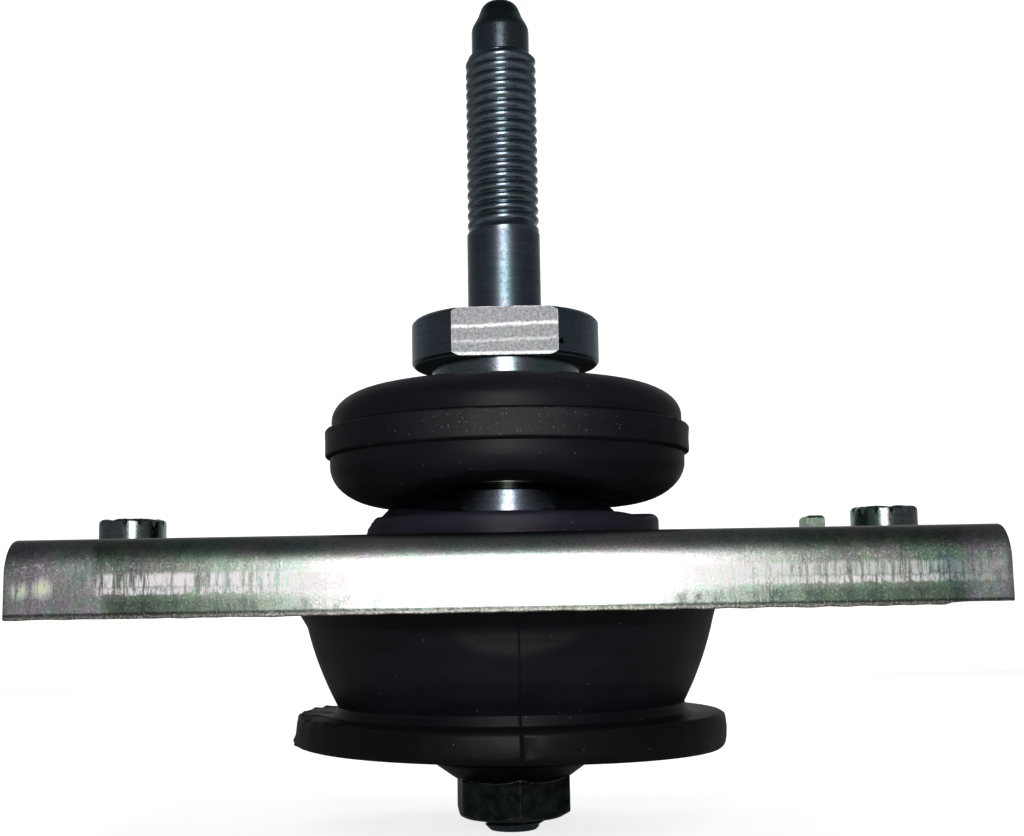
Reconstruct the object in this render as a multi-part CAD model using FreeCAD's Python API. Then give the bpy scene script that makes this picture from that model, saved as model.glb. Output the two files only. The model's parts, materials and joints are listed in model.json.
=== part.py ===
import FreeCAD, Part
import math
import os

# Rubber engine mount: a channel plate carried in rubber, with a stud through its middle.
# Millimetres. The origin is on the stud's axis, in the plate's top face. +Z runs up the stud.

V = FreeCAD.Vector
AXIS = V(0, 0, 1)

# Channel plate
plate_length = 136.0          # along X, measured at the two flanges
plate_ear = 6.0               # how far each end bulges past that at the centre line
plate_width = 80.0            # along Y, over the flanges
plate_height = 11.0           # top face to the flanges' free edges
sheet = 3.0
bend_inner_r = 2.0
plate_bore_r = 17.0           # the rubber passes through here

# Locating tab, lanced and bent up out of the plate
tab_inset = 18.3              # from the plate's end to the middle of the tab
tab_width = 6.0
tab_height = 3.4
tab_edge_r = 0.6
tab_relief = 0.4              # play of the lanced window beside the tab

# Clinch nuts pressed into the plate
plate_nut_inset = 6.5         # from the flanges' ends to the nut's centre
plate_nut_r = 5.35
plate_nut_height = 4.7        # above the plate
plate_nut_shank_r = 4.6       # the part that fills the plate's hole
plate_nut_bore_r = 3.4        # tapping bore of an M8 thread
plate_nut_mouth = 0.5         # chamfer of the bore's mouth
tooth_count = 14              # notches round the nut's upper rim
tooth_depth = 0.9
tooth_width = 0.9
tooth_reach = 0.8             # how far a notch cuts in from the rim

# Stud
thread_r = 5.93               # M12 above the collar, just under its nominal size
thread_length = 31.2
thread_chamfer = 1.1
shank_r = 6.1                 # plain bar above the collar and through the sleeves
shank_length = 14.85          # between the collar and the thread
pilot_r = 4.9                 # plain pilot above the thread
pilot_length = 4.6
tip_length = 5.0
tip_r = 2.9
tip_round = 0.6
nut_thread_r = 5.0            # M10 below, for the hexagon nut
nut_thread_relief = 0.5       # the step to it lies this far inside the sleeve
stud_projection = 2.9         # below the hexagon nut
stud_chamfer = 1.3

# Collar of the stud, with two spanner flats
collar_r = 15.5
collar_height = 7.75
collar_flats = 26.0           # across the flats, along Y
collar_top_chamfer = 1.1
collar_bottom_chamfer = 0.8

# Stack under the collar
washer_r = 12.2
washer_thickness = 2.8
washer_chamfer = 0.25
slip = 0.15                   # radial play of the stud in what it passes through
sleeve_r = 8.2                # outside of the inner sleeve and of the snubber core
core_projection = 1.15        # the core stands this far below the arch's crown
core_lip = 0.5                # thin bead round the core, near its lower end
core_lip_height = 0.7
core_lip_gap = 0.95

# Snubber ring
snubber_height = 20.05
snubber_flat_r = 18.5         # flat top face
shoulder_r = 28.7
shoulder_drop = 6.55
belt_r = 29.8
belt_drop = 7.7               # from the ring's top to the belt
belt_height = 4.4
belt_edge = 0.3
lower_r = 29.0
lower_rise = 6.5
snubber_foot_r = 19.5         # flat underside
arch_r = 58.0                 # shallow arch that crosses the underside along Y
arch_rise = 3.35
core_pocket_r = 13.0          # relief round the core, from below
core_pocket_rise = 4.2
snubber_gap = 0.35            # between the pad's humps and the snubber

# Main rubber: pad above the plate, cone and foot flange below
pad_r = 24.5
pad_height = 4.35
pad_edge_r = 0.9
hump_rise = 1.3
hump_top_r = 16.3             # on the right
hump_left_top_r = 19.9        # on the left
hump_slope_run = 1.5
saddle_r = 105.0              # hollow of the humps, along Y
facet_inset = 0.3             # slanted flat on the pad's left side, at the plate
facet_slope = 1.5             # its rise over its run
base_clearance = 2.6          # between the rubber inside the channel and the flanges
base_depth = 7.0
base_taper = 1.9              # the cone starts this much narrower
cone_top_drop = 10.2          # below the sheet
cone_foot_r = 27.7
cone_bulge = 0.45             # its side swells this much
foot_fillet = 2.0
foot_r = 34.0
foot_drop = 27.65             # below the plate's top face
foot_thickness = 3.9
foot_edge_r = 1.0

# Steel disc in the foot flange
disc_r = 30.5
disc_thickness = 2.65

# Hexagon nut with a washer face
nut_face_r = 13.0
nut_face_thickness = 3.0
nut_cone_height = 2.6
hex_across_flats = 17.0
hex_height = 5.4
hex_turn = 7.0                # degrees, as it was left when tightened
hex_chamfer = 1.0
nut_cone_r = 8.9

# Places and levels that follow from these
tab_x = plate_length / 2 - tab_inset
plate_nut_x = plate_length / 2 - plate_nut_inset
base_r = plate_width / 2 - sheet - base_clearance
cone_top_r = base_r - base_taper
foot_top = -foot_drop
foot_bottom = foot_top - foot_thickness
disc_top = foot_bottom + disc_thickness
snubber_bottom = pad_height + hump_rise + snubber_gap
snubber_top = snubber_bottom + snubber_height
arch_crown = snubber_bottom + arch_rise
core_bottom = arch_crown - core_projection
collar_bottom = snubber_top + washer_thickness
collar_top = collar_bottom + collar_height
thread_bottom = collar_top + shank_length
thread_top = thread_bottom + thread_length
pilot_top = thread_top + pilot_length
stud_top = pilot_top + tip_length
face_bottom = foot_bottom - nut_face_thickness
hex_top = face_bottom - nut_cone_height
nut_bottom = hex_top - hex_height
stud_bottom = nut_bottom - stud_projection


def outline(start, *steps):
    """Closed wire in the XZ plane. A step is (x, z), or (x, z, through_x, through_z) for an arc."""
    edges = []
    here = V(start[0], 0, start[1])
    for step in steps:
        there = V(step[0], 0, step[1])
        if len(step) == 4:
            edges.append(Part.Arc(here, V(step[2], 0, step[3]), there).toShape())
        else:
            edges.append(Part.LineSegment(here, there).toShape())
        here = there
    edges.append(Part.LineSegment(here, V(start[0], 0, start[1])).toShape())
    return Part.Wire(edges)


def turned(start, *steps):
    """Solid of revolution about the stud's axis, from an outline of radius and height."""
    return Part.Face(outline(start, *steps)).revolve(V(0, 0, 0), AXIS, 360)


def tube(inner_r, outer_r, bottom, top):
    body = Part.makeCylinder(outer_r, top - bottom, V(0, 0, bottom))
    return body.cut(Part.makeCylinder(inner_r, top - bottom, V(0, 0, bottom)))


def box(x_range, y_range, z_range):
    size = [high - low for low, high in (x_range, y_range, z_range)]
    return Part.makeBox(*size, V(x_range[0], y_range[0], z_range[0]))


def oval_point(centre, reach, rise, degrees):
    angle = math.radians(degrees)
    return centre[0] + reach * math.cos(angle), centre[1] + rise * math.sin(angle)


def oval_steps(centre, reach, rise, start, end):
    """Two arcs that follow a quarter of an oval, from one angle to the other."""
    quarter = (end - start) / 4
    points = [oval_point(centre, reach, rise, start + quarter * i) for i in range(1, 5)]
    return [(*points[1], *points[0]), (*points[3], *points[2])]


def rounded(corner_x, corner_z, radius, out_x, out_z):
    """Arc step round a square corner. out_x and out_z say which way the corner points."""
    shift = radius * (1 - math.sqrt(0.5))
    return corner_x - out_x * shift, corner_z - out_z * shift


def channel_body():
    """The folded sheet: an outer U less the room inside it, along X."""
    half_length = plate_length / 2 + plate_ear
    half_width = plate_width / 2
    bend_outer_r = bend_inner_r + sheet
    solid = box((-half_length, half_length), (-half_width, half_width), (-plate_height, 0))
    room = box((-half_length, half_length), (sheet - half_width, half_width - sheet),
               (-plate_height, -sheet))
    solid = solid.makeFillet(bend_outer_r, long_edges(solid, half_width, 0))
    room = room.makeFillet(bend_inner_r, long_edges(room, half_width - sheet, -sheet))
    return solid.cut(room)


def long_edges(solid, side, level):
    """The edges along X that lie at +-side and at one level."""
    found = []
    for edge in solid.Edges:
        centre = edge.CenterOfMass
        along_x = edge.BoundBox.XLength > plate_length / 2
        if along_x and abs(abs(centre.y) - side) < 1e-6 and abs(centre.z - level) < 1e-6:
            found.append(edge)
    return found


def plate_plan():
    """Block with the plate's outline from above: square at the flanges, bulged in between."""
    bend_outer_r = bend_inner_r + sheet
    end = plate_length / 2
    ear_half = plate_width / 2 - bend_outer_r
    half_width = plate_width / 2
    corners = [V(x * end, y, 0) for x, y in
               ((-1, -half_width), (1, -half_width), (1, -ear_half), (1, ear_half),
                (1, half_width), (-1, half_width), (-1, ear_half), (-1, -ear_half))]
    edges = []
    for i, here in enumerate(corners):
        there = corners[(i + 1) % len(corners)]
        if i in (2, 6):
            side = 1 if i == 2 else -1
            bulge = V(side * (end + plate_ear), 0, 0)
            edges.append(Part.Arc(here, bulge, there).toShape())
        else:
            edges.append(Part.LineSegment(here, there).toShape())
    face = Part.Face(Part.Wire(edges))
    face.translate(V(0, 0, -plate_height))
    return face.extrude(V(0, 0, plate_height))


def locating_tab():
    low = tab_x - sheet / 2
    tab = box((low, low + sheet), (-tab_width / 2, tab_width / 2), (-sheet / 2, tab_height))
    top_edges = [edge for edge in tab.Edges if abs(edge.CenterOfMass.z - tab_height) < 1e-6]
    return tab.makeFillet(tab_edge_r, top_edges)


def tab_window():
    """The sheet that was lanced to make the tab, on the side towards the stud."""
    high = tab_x - sheet / 2
    side = tab_width / 2 + tab_relief
    return box((high - tab_height - tab_relief, high), (-side, side), (-sheet, 0))


def mounting_plate():
    plate = channel_body().common(plate_plan())
    plate = plate.cut(Part.makeCylinder(plate_bore_r, sheet, V(0, 0, -sheet)))
    for side in (-1, 1):
        place = V(side * plate_nut_x, 0, -sheet)
        plate = plate.cut(Part.makeCylinder(plate_nut_shank_r, sheet, place))
    plate = plate.cut(tab_window())
    return plate.fuse(locating_tab()).removeSplitter()


def plate_nut(side):
    """Clinch nut: a notched head on the plate and a shank that fills the plate's hole."""
    edge = plate_nut_mouth
    nut = turned((plate_nut_bore_r, -sheet), (plate_nut_shank_r, -sheet), (plate_nut_shank_r, 0),
                 (plate_nut_r, 0), (plate_nut_r, plate_nut_height - edge),
                 (plate_nut_r - edge, plate_nut_height),
                 (plate_nut_bore_r + edge, plate_nut_height),
                 (plate_nut_bore_r, plate_nut_height - edge))
    notch = box((plate_nut_r - tooth_reach, plate_nut_r + tooth_reach),
                (-tooth_width / 2, tooth_width / 2),
                (plate_nut_height - tooth_depth, plate_nut_height + tooth_depth))
    for i in range(tooth_count):
        tooth = notch.copy()
        tooth.rotate(V(0, 0, 0), AXIS, 360 * i / tooth_count)
        nut = nut.cut(tooth)
    nut.translate(V(side * plate_nut_x, 0, 0))
    return nut


def stud():
    """Turned in one piece with its collar. The fine threads are left as plain cylinders."""
    step = disc_top + nut_thread_relief
    corner = tip_round * (1 - math.sqrt(0.5))
    body = turned((0, stud_bottom), (nut_thread_r - stud_chamfer, stud_bottom),
                  (nut_thread_r, stud_bottom + stud_chamfer), (nut_thread_r, step),
                  (shank_r, step), (shank_r, collar_bottom),
                  (collar_r - collar_bottom_chamfer, collar_bottom),
                  (collar_r, collar_bottom + collar_bottom_chamfer),
                  (collar_r, collar_top - collar_top_chamfer),
                  (collar_r - collar_top_chamfer, collar_top),
                  (shank_r, collar_top), (shank_r, thread_bottom), (thread_r, thread_bottom),
                  (thread_r, thread_top - thread_chamfer), (pilot_r, thread_top),
                  (pilot_r, pilot_top), (tip_r, stud_top - tip_round),
                  (tip_r - tip_round, stud_top, tip_r - corner, stud_top - corner),
                  (0, stud_top))
    flat = collar_flats / 2
    for side in (-1, 1):
        y_range = sorted((side * flat, side * collar_r))
        body = body.cut(box((-collar_r, collar_r), y_range, (collar_bottom, collar_top)))
    return body


def thrust_washer():
    inner = shank_r + slip
    c = washer_chamfer
    return turned((inner, snubber_top), (washer_r - c, snubber_top), (washer_r, snubber_top + c),
                  (washer_r, collar_bottom - c), (washer_r - c, collar_bottom),
                  (inner, collar_bottom))


def snubber_core():
    lip_bottom = core_bottom + core_lip_gap
    lip_top = lip_bottom + core_lip_height
    lip_middle = lip_bottom + core_lip_height / 2
    inner = shank_r + slip
    return turned((inner, core_bottom), (sleeve_r, core_bottom), (sleeve_r, lip_bottom),
                  (sleeve_r, lip_top, sleeve_r + core_lip, lip_middle),
                  (sleeve_r, snubber_top), (inner, snubber_top))


def snubber_rubber():
    belt_top = snubber_top - belt_drop
    belt_bottom = belt_top - belt_height
    pocket = snubber_bottom + core_pocket_rise
    shoulder = (snubber_flat_r, snubber_top - shoulder_drop)
    lower = (snubber_foot_r, snubber_bottom + lower_rise)
    upper_arcs = oval_steps(shoulder, shoulder_r - snubber_flat_r, shoulder_drop, 90, 0)
    lower_arcs = oval_steps(lower, lower_r - snubber_foot_r, lower_rise, 0, -90)
    ring = turned((sleeve_r, pocket), (sleeve_r, snubber_top), (snubber_flat_r, snubber_top),
                  *upper_arcs, (shoulder_r, belt_top), (belt_r - belt_edge, belt_top),
                  (belt_r, belt_top - belt_edge), (belt_r, belt_bottom + belt_edge),
                  (belt_r - belt_edge, belt_bottom), (lower_r, belt_bottom),
                  (lower_r, lower[1]), *lower_arcs, (core_pocket_r, snubber_bottom),
                  (core_pocket_r, pocket))
    reach = 2 * belt_r
    arch = Part.makeCylinder(arch_r, reach, V(0, -belt_r, arch_crown - arch_r), V(0, 1, 0))
    return ring.cut(arch)


def rubber_body():
    """The moulding as turned: pad, neck in the plate's bore, base, cone and foot flange."""
    pad_corner = rounded(pad_r, pad_height, pad_edge_r, 1, 1)
    foot_upper = rounded(foot_r, foot_top, foot_edge_r, 1, 1)
    foot_lower = rounded(foot_r, foot_bottom, foot_edge_r, 1, -1)
    cone_foot = foot_top + foot_fillet
    fillet_out = cone_foot_r + foot_fillet
    fillet = rounded(cone_foot_r, foot_top, foot_fillet, -1, -1)
    cone_top = -sheet - cone_top_drop
    cone_side = ((cone_top_r + cone_foot_r) / 2 + cone_bulge, (cone_top + cone_foot) / 2)
    return turned((sleeve_r, disc_top), (sleeve_r, pad_height), (pad_r - pad_edge_r, pad_height),
                  (pad_r, pad_height - pad_edge_r, *pad_corner), (pad_r, 0), (plate_bore_r, 0),
                  (plate_bore_r, -sheet), (base_r, -sheet), (base_r, -sheet - base_depth),
                  (cone_top_r, cone_top), (cone_foot_r, cone_foot, *cone_side),
                  (fillet_out, foot_top, *fillet), (foot_r - foot_edge_r, foot_top),
                  (foot_r, foot_top - foot_edge_r, *foot_upper),
                  (foot_r, foot_bottom + foot_edge_r),
                  (foot_r - foot_edge_r, foot_bottom, *foot_lower),
                  (disc_r, foot_bottom), (disc_r, disc_top))


def hump(side, top_r):
    """One of the pad's two humps, hollowed along Y by the saddle."""
    top = pad_height + hump_rise
    under = pad_height / 2
    foot = top_r + hump_slope_run
    ring = turned((sleeve_r, under), (sleeve_r, top), (top_r, top), (foot, pad_height),
                  (foot, under))
    half = box(sorted((0, side * foot)), (-foot, foot), (under, top))
    saddle = Part.makeCylinder(saddle_r, 2 * foot, V(0, -foot, pad_height + saddle_r), V(0, 1, 0))
    return ring.common(half).cut(saddle)


def pad_facet():
    """Wedge that leaves the slanted flat when it is cut away from the pad."""
    low = facet_inset - pad_r
    rise = pad_height + 2 * hump_rise
    wedge = outline((low, 0), (low + rise / facet_slope, rise), (-2 * pad_r, rise), (-2 * pad_r, 0))
    wedge.translate(V(0, -2 * pad_r, 0))
    return Part.Face(wedge).extrude(V(0, 4 * pad_r, 0))


def main_rubber():
    body = rubber_body().fuse([hump(1, hump_top_r), hump(-1, hump_left_top_r)])
    return body.cut(pad_facet()).removeSplitter()


def flange_nut():
    """Hexagon nut turned with a washer face, its lower corners chamfered."""
    face = turned((nut_thread_r, hex_top), (nut_thread_r, foot_bottom),
                  (nut_face_r, foot_bottom), (nut_face_r, face_bottom), (nut_cone_r, hex_top))
    corner_r = hex_across_flats / 2 / math.cos(math.radians(30))
    corners = []
    for i in range(7):
        angle = math.radians(60 * i - 90 + hex_turn)
        corners.append(V(corner_r * math.cos(angle), corner_r * math.sin(angle), nut_bottom))
    prism = Part.Face(Part.makePolygon(corners)).extrude(V(0, 0, hex_height))
    limit = turned((nut_thread_r, nut_bottom), (corner_r - 2 * hex_chamfer, nut_bottom),
                   (corner_r, nut_bottom + hex_chamfer), (corner_r, hex_top),
                   (nut_thread_r, hex_top))
    return face.fuse(prism.common(limit)).removeSplitter()


def save(name, shape):
    shape.exportStep(os.path.join("parts", name + ".step"))
    print(name, "solids", len(shape.Solids), "valid", shape.isValid(), "mm3", round(shape.Volume))


os.makedirs("parts", exist_ok=True)
save("mounting_plate", mounting_plate())
save("left_plate_nut", plate_nut(-1))
save("right_plate_nut", plate_nut(1))
save("main_rubber", main_rubber())
save("inner_sleeve", tube(shank_r + slip, sleeve_r, disc_top, core_bottom))
save("support_disc", tube(nut_thread_r + slip, disc_r, foot_bottom, disc_top))
save("stud", stud())
save("thrust_washer", thrust_washer())
save("snubber_core", snubber_core())
save("snubber_rubber", snubber_rubber())
save("flange_nut", flange_nut())
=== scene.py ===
# %% [markdown]
# # A rubber engine mount, piece by piece
# The mount holds an engine on a stud that stands in rubber. A folded channel plate is bolted to
# the car body, rubber is moulded through its middle, and a long stud runs down through steel
# sleeves to a nut. We keep the construction model as a fixed frame and build a detailed,
# finished mesh round it.

# %% Load the frame and remember its box
import json
import math

import bmesh
import bpy
from mathutils import Matrix, Vector, noise

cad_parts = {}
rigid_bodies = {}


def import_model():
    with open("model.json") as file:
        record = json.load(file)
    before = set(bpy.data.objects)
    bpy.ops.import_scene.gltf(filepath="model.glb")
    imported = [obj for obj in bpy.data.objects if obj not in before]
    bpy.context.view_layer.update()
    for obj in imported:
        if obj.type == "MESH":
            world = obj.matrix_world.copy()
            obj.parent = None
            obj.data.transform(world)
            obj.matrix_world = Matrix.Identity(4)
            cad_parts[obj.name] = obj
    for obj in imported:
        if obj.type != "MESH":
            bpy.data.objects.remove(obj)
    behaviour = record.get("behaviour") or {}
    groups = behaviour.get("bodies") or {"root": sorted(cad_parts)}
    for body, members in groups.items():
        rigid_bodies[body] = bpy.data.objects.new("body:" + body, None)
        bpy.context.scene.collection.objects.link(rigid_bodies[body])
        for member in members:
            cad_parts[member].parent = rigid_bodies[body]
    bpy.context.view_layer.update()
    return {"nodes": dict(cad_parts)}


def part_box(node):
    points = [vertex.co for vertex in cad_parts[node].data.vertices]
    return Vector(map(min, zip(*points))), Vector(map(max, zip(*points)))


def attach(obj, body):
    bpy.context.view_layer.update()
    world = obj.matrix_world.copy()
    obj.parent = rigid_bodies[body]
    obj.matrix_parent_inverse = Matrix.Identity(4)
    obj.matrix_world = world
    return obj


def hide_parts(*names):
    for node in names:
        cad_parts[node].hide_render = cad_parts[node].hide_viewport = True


for leftover in list(bpy.data.objects):
    bpy.data.objects.remove(leftover)
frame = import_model()
MM = 0.001
print("frame nodes:", ", ".join(sorted(frame["nodes"])))

# %% [markdown]
# ## Where the heights come from
# Every piece sits on its neighbour, so each height is read from the frame's boxes and not typed
# again. What the boxes can't tell, such as the thread's pitch, is a named value in millimetres.

# %% Heights and radii read from the frame


def low(node):
    """Lowest corner of a node's box, in millimetres."""
    return Vector(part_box(node)[0]) / MM


def high(node):
    """Highest corner of a node's box, in millimetres."""
    return Vector(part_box(node)[1]) / MM


STUD_BOTTOM, STUD_TOP = low("stud").z, high("stud").z
COLLAR_R, COLLAR_FLAT = high("stud").x, high("stud").y
WASHER_R = high("thrust_washer").x
SNUBBER_TOP, SNUBBER_BOTTOM = high("snubber_rubber").z, low("snubber_rubber").z
BELT_R = high("snubber_rubber").x
COLLAR_BOTTOM = high("thrust_washer").z
CORE_BOTTOM, CORE_LIP_R = low("snubber_core").z, high("snubber_core").x
SLEEVE_R = high("inner_sleeve").x
DISC_TOP, DISC_BOTTOM = high("support_disc").z, low("support_disc").z
DISC_R = high("support_disc").x
PLATE_END, PLATE_SIDE = high("mounting_plate").x, high("mounting_plate").y
PLATE_EDGE = low("mounting_plate").z
TAB_TOP = high("mounting_plate").z
NUT_FACE_R, NUT_BOTTOM = high("flange_nut").x, low("flange_nut").z
print("stud from", round(STUD_BOTTOM, 2), "to", round(STUD_TOP, 2), "mm")

# %% [markdown]
# ## The camera
# The photograph was taken a hand's length away, just below the plate and looking slightly up.
# Close pictures have strong perspective, so the camera's place matters more than its lens.

# %% Camera
CAMERA_PLACE = (0.9, -228.5, -9.25)
CAMERA_PITCH = 7.41
CAMERA_ROLL = -1.0
FOCAL_LENGTH = 48.97


def add_camera():
    data = bpy.data.cameras.new("photo_camera")
    data.sensor_width = 36.0
    data.lens = FOCAL_LENGTH
    data.clip_start = 0.01
    camera = bpy.data.objects.new("photo_camera", data)
    bpy.context.scene.collection.objects.link(camera)
    camera.location = Vector(CAMERA_PLACE) * MM
    camera.rotation_euler = (math.radians(90 + CAMERA_PITCH), 0, 0)
    camera.rotation_euler.rotate_axis("Z", math.radians(CAMERA_ROLL))
    bpy.context.scene.camera = camera
    print("camera at", CAMERA_PLACE, "mm")


add_camera()

# %% [markdown]
# ## Working like a modeller
# Each piece starts from a primitive and is shaped with the same operators that the menus hold.
# An operator works on whatever is selected, so every helper first clears the selection, and
# parts of a mesh are selected by where they are.

# %% Helpers for selecting, shaping and declaring


def clear_selection():
    if bpy.context.mode != "OBJECT":
        bpy.ops.object.mode_set(mode="OBJECT")
    bpy.ops.object.select_all(action="DESELECT")


def make_active(piece):
    clear_selection()
    piece.select_set(True)
    bpy.context.view_layer.objects.active = piece


def edit(piece):
    make_active(piece)
    bpy.ops.object.mode_set(mode="EDIT")
    bpy.ops.mesh.select_mode(type="VERT")


def select_where(piece, kind, rule):
    """In edit mode, selects the vertices, edges or faces whose middle passes the rule."""
    bpy.ops.mesh.select_all(action="DESELECT")
    bpy.ops.mesh.select_mode(type={"verts": "VERT", "edges": "EDGE", "faces": "FACE"}[kind])
    mesh = bmesh.from_edit_mesh(piece.data)
    for part in getattr(mesh, kind):
        if kind == "verts":
            middle = part.co
        elif kind == "edges":
            middle = (part.verts[0].co + part.verts[1].co) / 2
        else:
            middle = part.calc_center_median()
        if rule(middle / MM):
            part.select_set(True)
    mesh.select_flush_mode()
    bmesh.update_edit_mesh(piece.data)


def apply_modifier(piece, kind, name, **settings):
    make_active(piece)
    modifier = piece.modifiers.new(name, kind)
    for key, value in settings.items():
        setattr(modifier, key, value)
    bpy.ops.object.modifier_apply(modifier=modifier.name)


def clean(piece):
    """Merges doubles and turns every face outwards."""
    edit(piece)
    bpy.ops.mesh.select_all(action="SELECT")
    bpy.ops.mesh.remove_doubles(threshold=0.002 * MM)
    bpy.ops.mesh.normals_make_consistent(inside=False)
    bpy.ops.object.mode_set(mode="OBJECT")


def reshape(piece, rule):
    """Moves each vertex by a rule that takes and gives a place in millimetres."""
    for vertex in piece.data.vertices:
        vertex.co = Vector(rule(vertex.co / MM)) * MM


def ramp(value, start, length):
    """0 up to the start, then rising to 1 over the length."""
    return min(1.0, max(0.0, (value - start) / length))


def turn(piece, degrees, axis="Z"):
    """Turns the mesh itself about an axis through the origin."""
    turning = Matrix.Rotation(math.radians(degrees), 3, axis)
    reshape(piece, lambda co: turning @ co)


def combine(piece, other, operation):
    """Boolean of two closed pieces. The second one is used up."""
    apply_modifier(piece, "BOOLEAN", "join", operation=operation, object=other, solver="EXACT")
    bpy.data.objects.remove(other)


def slice_off(piece, place, direction):
    """Cuts with a plane, removes what lies beyond it and closes the cut."""
    edit(piece)
    bpy.ops.mesh.select_all(action="SELECT")
    bpy.ops.mesh.bisect(plane_co=Vector(place) * MM, plane_no=direction, use_fill=True,
                        clear_outer=True, threshold=0.0001 * MM)
    bpy.ops.object.mode_set(mode="OBJECT")


def break_edges(piece, width, degrees, segments=2):
    """Bevels every edge that is sharper than an angle."""
    apply_modifier(piece, "BEVEL", "edges", width=width * MM, segments=segments,
                   limit_method="ANGLE", angle_limit=math.radians(degrees))


def smooth(piece, degrees):
    """Smooth shading up to an angle. Large flat faces keep their own flat normals."""
    make_active(piece)
    bpy.ops.object.shade_smooth_by_angle(angle=math.radians(degrees))
    apply_modifier(piece, "WEIGHTED_NORMAL", "flat faces first", keep_sharp=True, weight=80)


def declare(piece, node):
    """Sets the piece on the frame's root body and hides the frame's solid that it stands for."""
    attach(piece, "root")
    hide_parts(node)
    print(piece.name, "faces", len(piece.data.polygons))


# %% [markdown]
# ## Turned pieces
# A lathe turns a bar about its axis while a tool follows an outline. We do the same: the
# outline is drawn point by point with extrude, its corners are rounded with a vertex bevel, and
# spin turns it.

# %% Helpers for turned pieces


def draw_outline(name, points, segments=5):
    """Extrudes an outline in the XZ plane. A point is (radius, height) or (radius, height, cut).

    The cut is how far back along its two edges the corner is rounded."""
    clear_selection()
    bpy.ops.mesh.primitive_plane_add(size=MM, location=(0, 0, 0))
    piece = bpy.context.object
    piece.name = piece.data.name = name
    edit(piece)
    bpy.ops.mesh.select_all(action="SELECT")
    bpy.ops.mesh.merge(type="CENTER")
    here = Vector((0, 0, 0))
    for i, point in enumerate(points):
        there = Vector((point[0], 0, point[1])) * MM
        if i == 0:
            bpy.ops.transform.translate(value=there - here)
        else:
            bpy.ops.mesh.extrude_region_move(TRANSFORM_OT_translate={"value": there - here})
        here = there
    for point in points:
        if len(point) == 3:
            corner = Vector((point[0], 0, point[1]))
            select_where(piece, "verts", lambda co: (co - corner).length < 0.001)
            bpy.ops.mesh.bevel(offset=point[2] * MM, segments=segments, affect="VERTICES")
    return piece


def turned(name, points, steps=96, hollow=False):
    """Solid of revolution. A hollow outline is closed back to its first point."""
    outline = list(points)
    if hollow:
        outline.append(points[0][:2])
    piece = draw_outline(name, outline)
    bpy.ops.mesh.select_all(action="SELECT")
    bpy.ops.mesh.spin(steps=steps, angle=math.tau, center=(0, 0, 0), axis=(0, 0, 1))
    clean(piece)
    return piece

# %% [markdown]
# ## A real thread
# A screw thread is one tooth carried round and up at the same time, which is what the Screw
# modifier does. The tooth runs past both ends, two flat cuts trim the helix, and then the ends
# are shaped: the crests are turned down to a chamfer at the free end and the grooves run out
# into the plain shank.

# %% Helper for threads
THREAD_STEPS = 72
THREAD_DEPTH = 0.6134          # of the pitch, as on every metric thread


def threaded_bar(name, crest_r, pitch, bottom, top, run_out=0.0, chamfer=0.0,
                 depth=THREAD_DEPTH, crest=0.16, rounding=0.07):
    """Closed bar with a right-hand thread from bottom to top. The run-out is at the bottom."""
    root_r = crest_r - depth * pitch
    turns = math.ceil((top - bottom) / pitch) + 2
    start = bottom - pitch
    tooth = [(root_r, start), (root_r, start + (0.38 - crest) * pitch, 0.08 * pitch),
             (crest_r, start + (0.69 - crest) * pitch, rounding * pitch),
             (crest_r, start + 0.69 * pitch, rounding * pitch), (root_r, start + pitch)]
    piece = draw_outline(name, tooth, segments=2)
    apply_modifier(piece, "SCREW", "helix", axis="Z", angle=math.tau, screw_offset=pitch * MM,
                   iterations=turns, steps=THREAD_STEPS, render_steps=THREAD_STEPS,
                   use_merge_vertices=True, merge_threshold=0.001 * MM)
    clean(piece)
    slice_off(piece, (0, 0, bottom), (0, 0, -1))
    slice_off(piece, (0, 0, top), (0, 0, 1))

    def shape_ends(co):
        radius = math.hypot(co.x, co.y)
        if radius < 0.5 * root_r:
            return co
        wanted = min(radius, crest_r - chamfer + max(0.0, top - co.z)) if chamfer else radius
        if run_out and co.z < bottom + run_out:
            wanted = max(wanted, crest_r - (crest_r - root_r) * (co.z - bottom) / run_out)
        return Vector((co.x * wanted / radius, co.y * wanted / radius, co.z))

    reshape(piece, shape_ends)
    clean(piece)
    return piece

# %% [markdown]
# ## The stud
# One bar carries everything: a pilot that finds the hole, an M12 thread, a plain shank, a
# forged collar, and an M10 thread below for the nut. We turn the bar, trim the collar's two
# spanner flats with flat cuts, and join collar and threads to it with a Boolean, so that the
# stud is one closed mesh.

# %% Stud
SHANK_R = 6.1
THREAD_R = 6.0
THREAD_PITCH = 1.75
THREAD_TOP = STUD_TOP - 9.6
THREAD_BOTTOM = THREAD_TOP - 31.2
PILOT_R = 4.9
NOSE = 2.7                     # length of the short rounded nose above the pilot's cone
FILLED_DEPTH = 0.30            # old grease fills the upper thread, so less of its depth shows
NUT_THREAD_R = 5.0
NUT_THREAD_PITCH = 1.5
COLLAR_TOP = COLLAR_BOTTOM + 7.75
COLLAR_CHAMFER = 0.6
OVERLAP = 0.25                 # pieces that are joined reach this far into each other


def make_collar():
    inner_r, edge = COLLAR_R - COLLAR_CHAMFER, 0.15
    collar = turned("collar", [
        (0, COLLAR_BOTTOM), (inner_r, COLLAR_BOTTOM, edge),
        (COLLAR_R, COLLAR_BOTTOM + COLLAR_CHAMFER, edge),
        (COLLAR_R, COLLAR_TOP - COLLAR_CHAMFER, edge), (inner_r, COLLAR_TOP, edge),
        (0, COLLAR_TOP)], steps=144)
    for side in (-1, 1):
        slice_off(collar, (0, side * COLLAR_FLAT, 0), (0, side, 0))
    break_edges(collar, 0.13, 20, segments=3)
    return collar


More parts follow.
